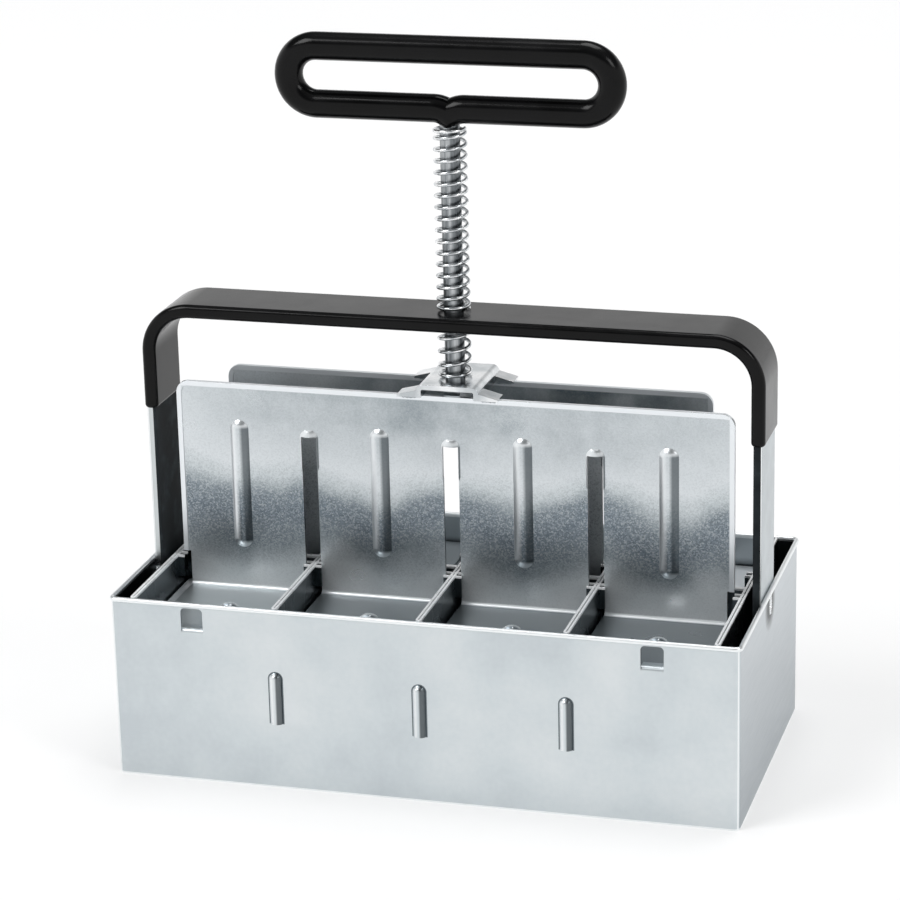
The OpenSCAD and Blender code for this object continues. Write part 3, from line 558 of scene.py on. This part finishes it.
def bright_plate(name, tones, patch_mm, rough, stretch=(1.0, 1.0, 1.0)):
    """Bright zinc plate, nearly a mirror, over a steel whose marks still show:
    patches patch_mm across, each axis scaled by the stretch, so that a small
    number there draws the patches out."""
    material, tree = new_tree(name)
    place = add_node(tree, "ShaderNodeTexCoord", out="Object")
    drawn_out = add_node(tree, "ShaderNodeMapping", {"Vector": place, "Scale": stretch})
    marks = add_node(tree, "ShaderNodeTexNoise", {
        "Vector": drawn_out, "Scale": 1.0 / (patch_mm * MM), "Detail": 3.0}, "Fac")
    colour = add_node(tree, "ShaderNodeValToRGB", {"Fac": marks},
                      stops=list(zip((0.36, 0.5, 0.64), tones)))
    gloss = add_node(tree, "ShaderNodeMapRange", {
        "Value": marks, "From Min": noise_low, "From Max": noise_high, "To Min": rough,
        "To Max": rough + rough_spread})
    bump = add_node(tree, "ShaderNodeBump", {
        "Height": marks, "Distance": 0.02 * MM, "Strength": 0.2})
    metal = add_node(tree, "ShaderNodeBsdfPrincipled", {
        "Base Color": colour, "Roughness": gloss, "Metallic": 1.0, "Normal": bump})
    add_node(tree, "ShaderNodeOutputMaterial", {"Surface": metal})
    return material


plate = bright_plate("bright_zinc_plate", ("#d3d7d9", "#e0e3e5", "#eef0f1"), 5.0, 0.14)
pressed_plate = bright_plate("bright_zinc_pressing", ("#b9bec1", "#dadddf", "#f4f5f6"), 13.0,
                             0.14)
# The rod's long streaks are partly drawing marks and partly painted reflection.
drawn_bar = bright_plate("bright_drawn_bar", ("#5c6063", "#83878a", "#b9bcbe"), 2.6, 0.26,
                         stretch=(1.0, 1.0, 0.02))
softened("saddle_bracket", 0.25, pressed_plate, "plunger", 3)
dress(plate, "rod_washer", "rod_nut", "seed_pins", "grip_core")
dress(drawn_bar, "plunger_rod")


# ---------------------------------------------------------------- welds
# Fillet welds of the bow's legs, the saddle's feet and the box's seam: rows of
# overlapping ripples laid down by the torch.

def new_group(name, sockets):
    """Starts a Geometry Nodes tree with the inputs Geometry, the sockets given as
    (name, kind) and Material, and gives it with those inputs."""
    tree = bpy.data.node_groups.new(name, "GeometryNodeTree")
    for label, kind in (("Geometry", "Geometry"), *sockets, ("Material", "Material")):
        tree.interface.new_socket(label, in_out="INPUT", socket_type="NodeSocket" + kind)
    tree.interface.new_socket("Geometry", in_out="OUTPUT", socket_type="NodeSocketGeometry")
    return tree, add_node(tree, "NodeGroupInput", out=None).outputs


def ripple_tree():
    """Geometry Nodes tree that lays weld ripples along the piece's edges."""
    tree, given = new_group("weld_ripples", (
        ("Bead radius", "Float"), ("Ripple spacing", "Float"), ("Seed", "Int")))
    line = add_node(tree, "GeometryNodeMeshToCurve", {"Mesh": given["Geometry"]})
    steps = add_node(tree, "GeometryNodeResampleCurve", {
        "Curve": line, "Length": given["Ripple spacing"]}, mode="LENGTH")
    ball = add_node(tree, "GeometryNodeMeshUVSphere", {
        "Segments": 12, "Rings": 8, "Radius": given["Bead radius"]}, "Mesh")
    size = add_node(tree, "FunctionNodeRandomValue", {
        "Min": (0.75, 0.75, 0.75), "Max": (1.0, 1.0, 1.0), "Seed": given["Seed"]},
        "Value", data_type="FLOAT_VECTOR")
    row = add_node(tree, "GeometryNodeInstanceOnPoints", {
        "Points": steps, "Instance": ball, "Scale": size})
    real = add_node(tree, "GeometryNodeRealizeInstances", {"Geometry": row})
    smooth = add_node(tree, "GeometryNodeSetShadeSmooth", {"Geometry": real})
    painted = add_node(tree, "GeometryNodeSetMaterial", {
        "Geometry": smooth, "Material": given["Material"]})
    add_node(tree, "NodeGroupOutput", {"Geometry": painted})
    return tree


def run_tree(name, tree, points, edges, values):
    """Runs a Geometry Nodes tree on a set of edges and keeps its plain mesh."""
    mesh = bpy.data.meshes.new(name)
    mesh.from_pydata(points, edges, [])
    piece = bpy.data.objects.new(name, mesh)
    bpy.context.scene.collection.objects.link(piece)
    made = piece.modifiers.new("made", "NODES")
    made.node_group = tree
    for socket in tree.interface.items_tree:
        if socket.in_out == "INPUT" and socket.name in values:
            made[socket.identifier] = values[socket.name]
    piece.data = plain_mesh(piece)
    return piece


ripple_lap = 0.8                            # spacing of the ripples, in bead radii


def weld(name, node_name, lines, radius_mm, body, seed):
    """Weld beads along lines given as pairs of points in millimetres."""
    points = [Vector(p) * MM for line in lines for p in line]
    edges = [(i, i + 1) for i in range(0, len(points), 2)]
    piece = run_tree(name, ripples, points, edges, {
        "Bead radius": radius_mm * MM, "Ripple spacing": ripple_lap * radius_mm * MM,
        "Seed": seed, "Material": plate})
    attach(piece, body)
    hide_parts(node_name)


def node_box_mm(node_name):
    """Lowest and highest corners of a node, in millimetres."""
    return [Vector(corner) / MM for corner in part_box(node_name)]


ripples = ripple_tree()

# Radii and places of the beads, in millimetres.
leg_bead_mm = 1.3
leg_end_mm = 1.2                            # first and last ripple, from the weld's ends
leg_inset_x = 0.5
leg_inset_y = 1.1
leg_low, leg_high = node_box_mm("leg_welds")
leg_x = leg_high.x - leg_inset_x
leg_y = leg_high.y - leg_inset_y
weld("leg_weld_beads", "leg_welds", [
    ((x, y, leg_low.z + leg_end_mm), (x, y, leg_high.z - leg_end_mm))
    for x in (-leg_x, leg_x) for y in (-leg_y, leg_y)], leg_bead_mm, "frame", 3)

foot_bead_mm = 0.8
foot_bead_z = 132.7                         # just under the top of the webs
foot_bead_y = (-9.2, -6.8, 12.8, 15.2)      # both faces of the front and the rear web
foot_bead_start = 5.0                       # from the saddle's outer end
foot_outer_x = node_box_mm("bracket_welds")[1].x
weld("bracket_weld_beads", "bracket_welds", [
    ((side * (foot_outer_x - foot_bead_start), y, foot_bead_z),
     (side * (foot_outer_x - foot_bead_mm), y, foot_bead_z))
    for side in (-1, 1) for y in foot_bead_y], foot_bead_mm, "plunger", 5)

seam_bead_mm = 1.2
seam_low, seam_high = node_box_mm("seam_weld")
seam_x = seam_high.x - seam_bead_mm
weld("seam_weld_bead", "seam_weld", [
    ((seam_x, 0.0, seam_low.z + seam_bead_mm), (seam_x, 0.0, seam_high.z))],
    seam_bead_mm, "frame", 7)


# ---------------------------------------------------------------- springs
# Compression springs of 1.3 mm drawn wire with closed ends: a long one above the
# bow, which the grip squeezes, and a short one below it.

def coil_tree():
    """Geometry Nodes tree for a spring whose first and last turn lie closed."""
    tree, given = new_group("closed_coil", (
        ("Open turns", "Float"), ("Coil radius", "Float"), ("Wire radius", "Float"),
        ("Foot", "Float"), ("Closed rise", "Float"), ("Open rise", "Float")))
    second = add_node(tree, "ShaderNodeMath", {0: given["Foot"], 1: given["Closed rise"]})
    third = add_node(tree, "ShaderNodeMath", {0: second, 1: given["Open rise"]})
    joined = add_node(tree, "GeometryNodeJoinGeometry", out=None)
    for start, turns, rise_of in ((given["Foot"], 1.0, given["Closed rise"]),
                                  (second, given["Open turns"], given["Open rise"]),
                                  (third, 1.0, given["Closed rise"])):
        wind = add_node(tree, "GeometryNodeCurveSpiral", {
            "Resolution": 32, "Rotations": turns, "Start Radius": given["Coil radius"],
            "End Radius": given["Coil radius"], "Height": rise_of, "Reverse": True})
        lift = add_node(tree, "ShaderNodeCombineXYZ", {"Z": start})
        part = add_node(tree, "GeometryNodeTransform", {"Geometry": wind, "Translation": lift})
        tree.links.new(part, joined.inputs[0])
    edges = add_node(tree, "GeometryNodeCurveToMesh", {"Curve": joined.outputs[0]})
    merged = add_node(tree, "GeometryNodeMergeByDistance", {
        "Geometry": edges, "Distance": 0.01 * MM})
    path = add_node(tree, "GeometryNodeMeshToCurve", {"Mesh": merged})
    section = add_node(tree, "GeometryNodeCurvePrimitiveCircle", {
        "Resolution": 12, "Radius": given["Wire radius"]}, "Curve")
    wire = add_node(tree, "GeometryNodeCurveToMesh", {
        "Curve": path, "Profile Curve": section, "Fill Caps": True})
    smooth = add_node(tree, "GeometryNodeSetShadeSmooth", {"Geometry": wire})
    painted = add_node(tree, "GeometryNodeSetMaterial", {
        "Geometry": smooth, "Material": given["Material"]})
    add_node(tree, "NodeGroupOutput", {"Geometry": painted})
    return tree


wire_steel = bright_plate("drawn_spring_wire", ("#a9adb0", "#d2d5d7", "#f4f5f6"), 3.0, 0.16)
closed_coil = coil_tree()
wire_radius_mm = 0.65
coil_radius_mm = 5.35
closed_rise_mm = 1.6                        # of one closed turn
closed_turns = 2.0
buffer_turns = 5.0
return_turns = 17.0


def spring(name, node_name, turns, body):
    """One spring that fills its node's height, with its first and last turn closed."""
    low, high = node_box_mm(node_name)
    open_rise = high.z - low.z - 2.0 * wire_radius_mm - closed_turns * closed_rise_mm
    piece = run_tree(name, closed_coil, [(0.0, 0.0, 0.0)], [], {
        "Open turns": turns - closed_turns, "Coil radius": coil_radius_mm * MM,
        "Wire radius": wire_radius_mm * MM, "Foot": (low.z + wire_radius_mm) * MM,
        "Closed rise": closed_rise_mm * MM, "Open rise": open_rise * MM,
        "Material": wire_steel})
    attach(piece, body)
    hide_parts(node_name)
    return piece


spring("buffer_spring_wire", "buffer_spring", buffer_turns, "plunger")
return_wire = spring("return_spring_wire", "return_spring", return_turns, "frame")
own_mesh(return_wire)


# ---------------------------------------------------------------- bow
# Flat steel strap, zinc plated, bent to a bow, welded inside the ends of the box
# and dipped head first in black vinyl. The grip is dipped in the same vinyl.

strap_outer = 111.0 * MM                    # outer faces of the legs
skin_depth = 0.3 * MM                       # how deep the pale outer face goes
shade_full_depth = 0.5 * MM                       # and where the painted shade is full
# The arris carries a painted highlight, this deep from the outer face and this wide each way.
arris_depth = 0.25 * MM
arris_half = 0.15 * MM
strap_edge = 11.7 * MM                      # the sheared edges lie beyond this, from the middle
left_edge_light_reach = -109.0 * MM                   # the left leg's edge is painted pale, as painted light, beyond this


def strap_zinc():
    """Zinc-plated hot-rolled flat bar: pale on the outer face, with a painted highlight along the
    arris, and painted shade in dark grey on the edges and inside, where it also shines less."""
    material, tree = new_tree("zinc_plated_flat_bar")
    place = add_node(tree, "ShaderNodeTexCoord", out="Object")
    axis = add_node(tree, "ShaderNodeSeparateXYZ", {0: place}, None).outputs
    fine = add_node(tree, "ShaderNodeTexNoise", {
        "Vector": place, "Scale": 1.0 / (9.0 * MM), "Detail": 4.0}, "Fac")
    pale = add_node(tree, "ShaderNodeValToRGB", {"Fac": fine}, stops=[
        (0.35, "#acb3b7"), (0.65, "#c3c9cc")])
    shade_tone = add_node(tree, "ShaderNodeValToRGB", {"Fac": fine}, stops=[
        (0.3, "#171b1e"), (0.5, "#24292c"), (0.7, "#3c4246")])
    reach = add_node(tree, "ShaderNodeMath", {0: axis["X"]}, operation="ABSOLUTE")
    # Painted shade: dark grey on the edges and inside, pale only on the outer face.
    inside = add_node(tree, "ShaderNodeMapRange", {
        "Value": reach, "From Min": strap_outer - skin_depth,
        "From Max": strap_outer - shade_full_depth})
    colour = add_node(tree, "ShaderNodeMix", {
        0: inside, MIX_A: pale, MIX_B: shade_tone}, MIX_RESULT, data_type="RGBA")
    # The sheared edge of the left leg is painted pale again: painted light in place of the
    # painted shade.
    edge = add_node(tree, "ShaderNodeMath", {0: axis["Y"]}, operation="ABSOLUTE")
    edge = add_node(tree, "ShaderNodeMath", {0: edge, 1: strap_edge}, operation="GREATER_THAN")
    left_edge_light = add_node(tree, "ShaderNodeMath", {0: axis["X"], 1: left_edge_light_reach},
                     operation="LESS_THAN")
    left_edge_light = add_node(tree, "ShaderNodeMath", {0: left_edge_light, 1: edge}, operation="MULTIPLY")
    colour = add_node(tree, "ShaderNodeMix", {
        0: left_edge_light, MIX_A: colour, MIX_B: linear("#c9cecf")}, MIX_RESULT, data_type="RGBA")
    # Painted highlight along the arris.
    arris = add_node(tree, "ShaderNodeMath", {
        0: reach, 1: strap_outer - arris_depth, 2: arris_half}, operation="COMPARE")
    colour = add_node(tree, "ShaderNodeMix", {
        0: arris, MIX_A: colour, MIX_B: linear("#f3f5f6")}, MIX_RESULT, data_type="RGBA")
    gloss = add_node(tree, "ShaderNodeMapRange", {
        "Value": fine, "From Min": noise_low, "From Max": noise_high, "To Min": 0.26,
        "To Max": 0.4})
    bump = add_node(tree, "ShaderNodeBump", {
        "Height": fine, "Distance": 0.03 * MM, "Strength": 0.2})
    painted_shade = add_node(tree, "ShaderNodeMath", {0: 1.0, 1: left_edge_light}, operation="SUBTRACT")
    painted_shade = add_node(tree, "ShaderNodeMath", {0: painted_shade, 1: inside}, operation="MULTIPLY")
    shine = add_node(tree, "ShaderNodeMapRange", {"Value": painted_shade, "To Min": 1.0, "To Max": 0.2})
    gloss = add_node(tree, "ShaderNodeMath", {0: painted_shade, 1: 0.45, 2: gloss},
                     operation="MULTIPLY_ADD")
    metal = add_node(tree, "ShaderNodeBsdfPrincipled", {
        "Base Color": colour, "Roughness": gloss, "Metallic": shine,
        "Specular IOR Level": 0.2, "Normal": bump})
    add_node(tree, "ShaderNodeOutputMaterial", {"Surface": metal})
    return material


def dipped_vinyl():
    """Plastisol dip: glossy black vinyl with a slow ripple of 14 mm from draining."""
    material, tree = new_tree("black_dipped_vinyl")
    place = add_node(tree, "ShaderNodeTexCoord", out="Object")
    ripple = add_node(tree, "ShaderNodeTexNoise", {
        "Vector": place, "Scale": 1.0 / (14.0 * MM), "Detail": 2.0}, "Fac")
    colour = add_node(tree, "ShaderNodeValToRGB", {"Fac": ripple}, stops=[
        (0.3, "#050505"), (0.7, "#0b0b0c")])
    gloss = add_node(tree, "ShaderNodeMapRange", {
        "Value": ripple, "From Min": noise_low, "From Max": noise_high, "To Min": 0.14,
        "To Max": 0.22})
    bump = add_node(tree, "ShaderNodeBump", {
        "Height": ripple, "Distance": 0.15 * MM, "Strength": 0.3})
    skin = add_node(tree, "ShaderNodeBsdfPrincipled", {
        "Base Color": colour, "Roughness": gloss, "IOR": 1.5, "Specular IOR Level": 0.16,
        "Normal": bump})
    add_node(tree, "ShaderNodeOutputMaterial", {"Surface": skin})
    return material


softened("bow_strap", 0.4, strap_zinc(), "frame", 3)
vinyl = dipped_vinyl()
dress(vinyl, "grip_coating")

dip_low, dip_high = node_box_mm("bow_coating")
dip_thick_mm = 5.0
dip_bend_mm = 18.0                          # outer radius of the coated bends
dip_edge_mm = 2.0                           # radius of the bar's rounded edges
dip_edge_least_mm = 0.3
dip_lip_mm = 1.4
rod_hole_mm = 3.9                           # radius
round_steps = 6                             # steps of 15 degrees round an edge or a lip
bend_steps = 24
hole_steps = 48
drill_mm = 20.0                             # length, well through the bow


def dip_section(inset):
    """Rounded rectangle of the coated bar, as (out, across) points, drawn in by
    inset on every side."""
    half_out = dip_thick_mm / 2.0 - inset
    half_across = dip_high.y - inset
    radius = max(dip_edge_mm - inset, dip_edge_least_mm)
    points = []
    for quarter, (u, v) in enumerate(((1, 1), (-1, 1), (-1, -1), (1, -1))):
        for step in range(round_steps + 1):
            turn = math.radians(90.0 * quarter + 90.0 / round_steps * step)
            points.append((u * (half_out - radius) + radius * math.cos(turn),
                           v * (half_across - radius) + radius * math.sin(turn)))
    return points


def dip_stations():
    """Places along the bow as (x, z, outward x, outward z, inset), left to right."""
    mid_bend = dip_bend_mm - dip_thick_mm / 2.0
    corner_x = dip_high.x - dip_bend_mm
    corner_z = dip_high.z - dip_bend_mm
    leg = []
    for step in range(round_steps + 1):
        lip = math.radians(90.0 / round_steps * step)
        leg.append((corner_x + mid_bend, dip_low.z + dip_lip_mm * (1.0 - math.cos(lip)), 1.0, 0.0,
                    dip_lip_mm * (1.0 - math.sin(lip))))
    for step in range(bend_steps + 1):
        turn = math.radians(90.0 / bend_steps * step)
        leg.append((corner_x + mid_bend * math.cos(turn), corner_z + mid_bend * math.sin(turn),
                    math.cos(turn), math.sin(turn), 0.0))
    return [(-x, z, -out_x, out_z, inset) for x, z, out_x, out_z, inset in leg] + leg[::-1]


def dipped_bow():
    """The dip over the bow: a rounded bar skinned along the bow, with a rounded
    lip at the foot of each leg, and drilled for the rod."""
    shape = bmesh.new()
    rings = []
    for x, z, out_x, out_z, inset in dip_stations():
        rings.append([shape.verts.new(Vector((x + out * out_x, across, z + out * out_z)) * MM)
                      for out, across in dip_section(inset)])
    for ring, following in zip(rings, rings[1:]):
        for i in range(len(ring)):
            j = (i + 1) % len(ring)
            shape.faces.new((ring[i], ring[j], following[j], following[i]))
    shape.faces.new(rings[0])
    shape.faces.new(rings[-1])
    bmesh.ops.recalc_face_normals(shape, faces=shape.faces)
    for face in shape.faces:
        face.smooth = True
    mesh = bpy.data.meshes.new("bow_dip")
    shape.to_mesh(mesh)
    shape.clear()
    bmesh.ops.create_cone(shape, cap_ends=True, segments=hole_steps, radius1=rod_hole_mm * MM,
                          radius2=rod_hole_mm * MM, depth=drill_mm * MM,
                          matrix=Matrix.Translation((0.0, 0.0, dip_high.z * MM)))
    drill_mesh = bpy.data.meshes.new("drill")
    shape.to_mesh(drill_mesh)
    shape.free()
    piece = bpy.data.objects.new("bow_dip", mesh)
    drill = bpy.data.objects.new("drill", drill_mesh)
    for thing in (piece, drill):
        bpy.context.scene.collection.objects.link(thing)
    hole = piece.modifiers.new("rod_hole", "BOOLEAN")
    hole.object = drill
    hole.operation = "DIFFERENCE"
    hole.solver = "EXACT"
    normals = piece.modifiers.new("flat_faces_stay_flat", "WEIGHTED_NORMAL")
    normals.weight = face_weight
    piece.data = plain_mesh(piece)
    bpy.data.objects.remove(drill)
    piece.data.materials.clear()
    piece.data.materials.append(vinyl)
    return piece


bow_dip = dipped_bow()
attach(bow_dip, "frame")
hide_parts("bow_coating")
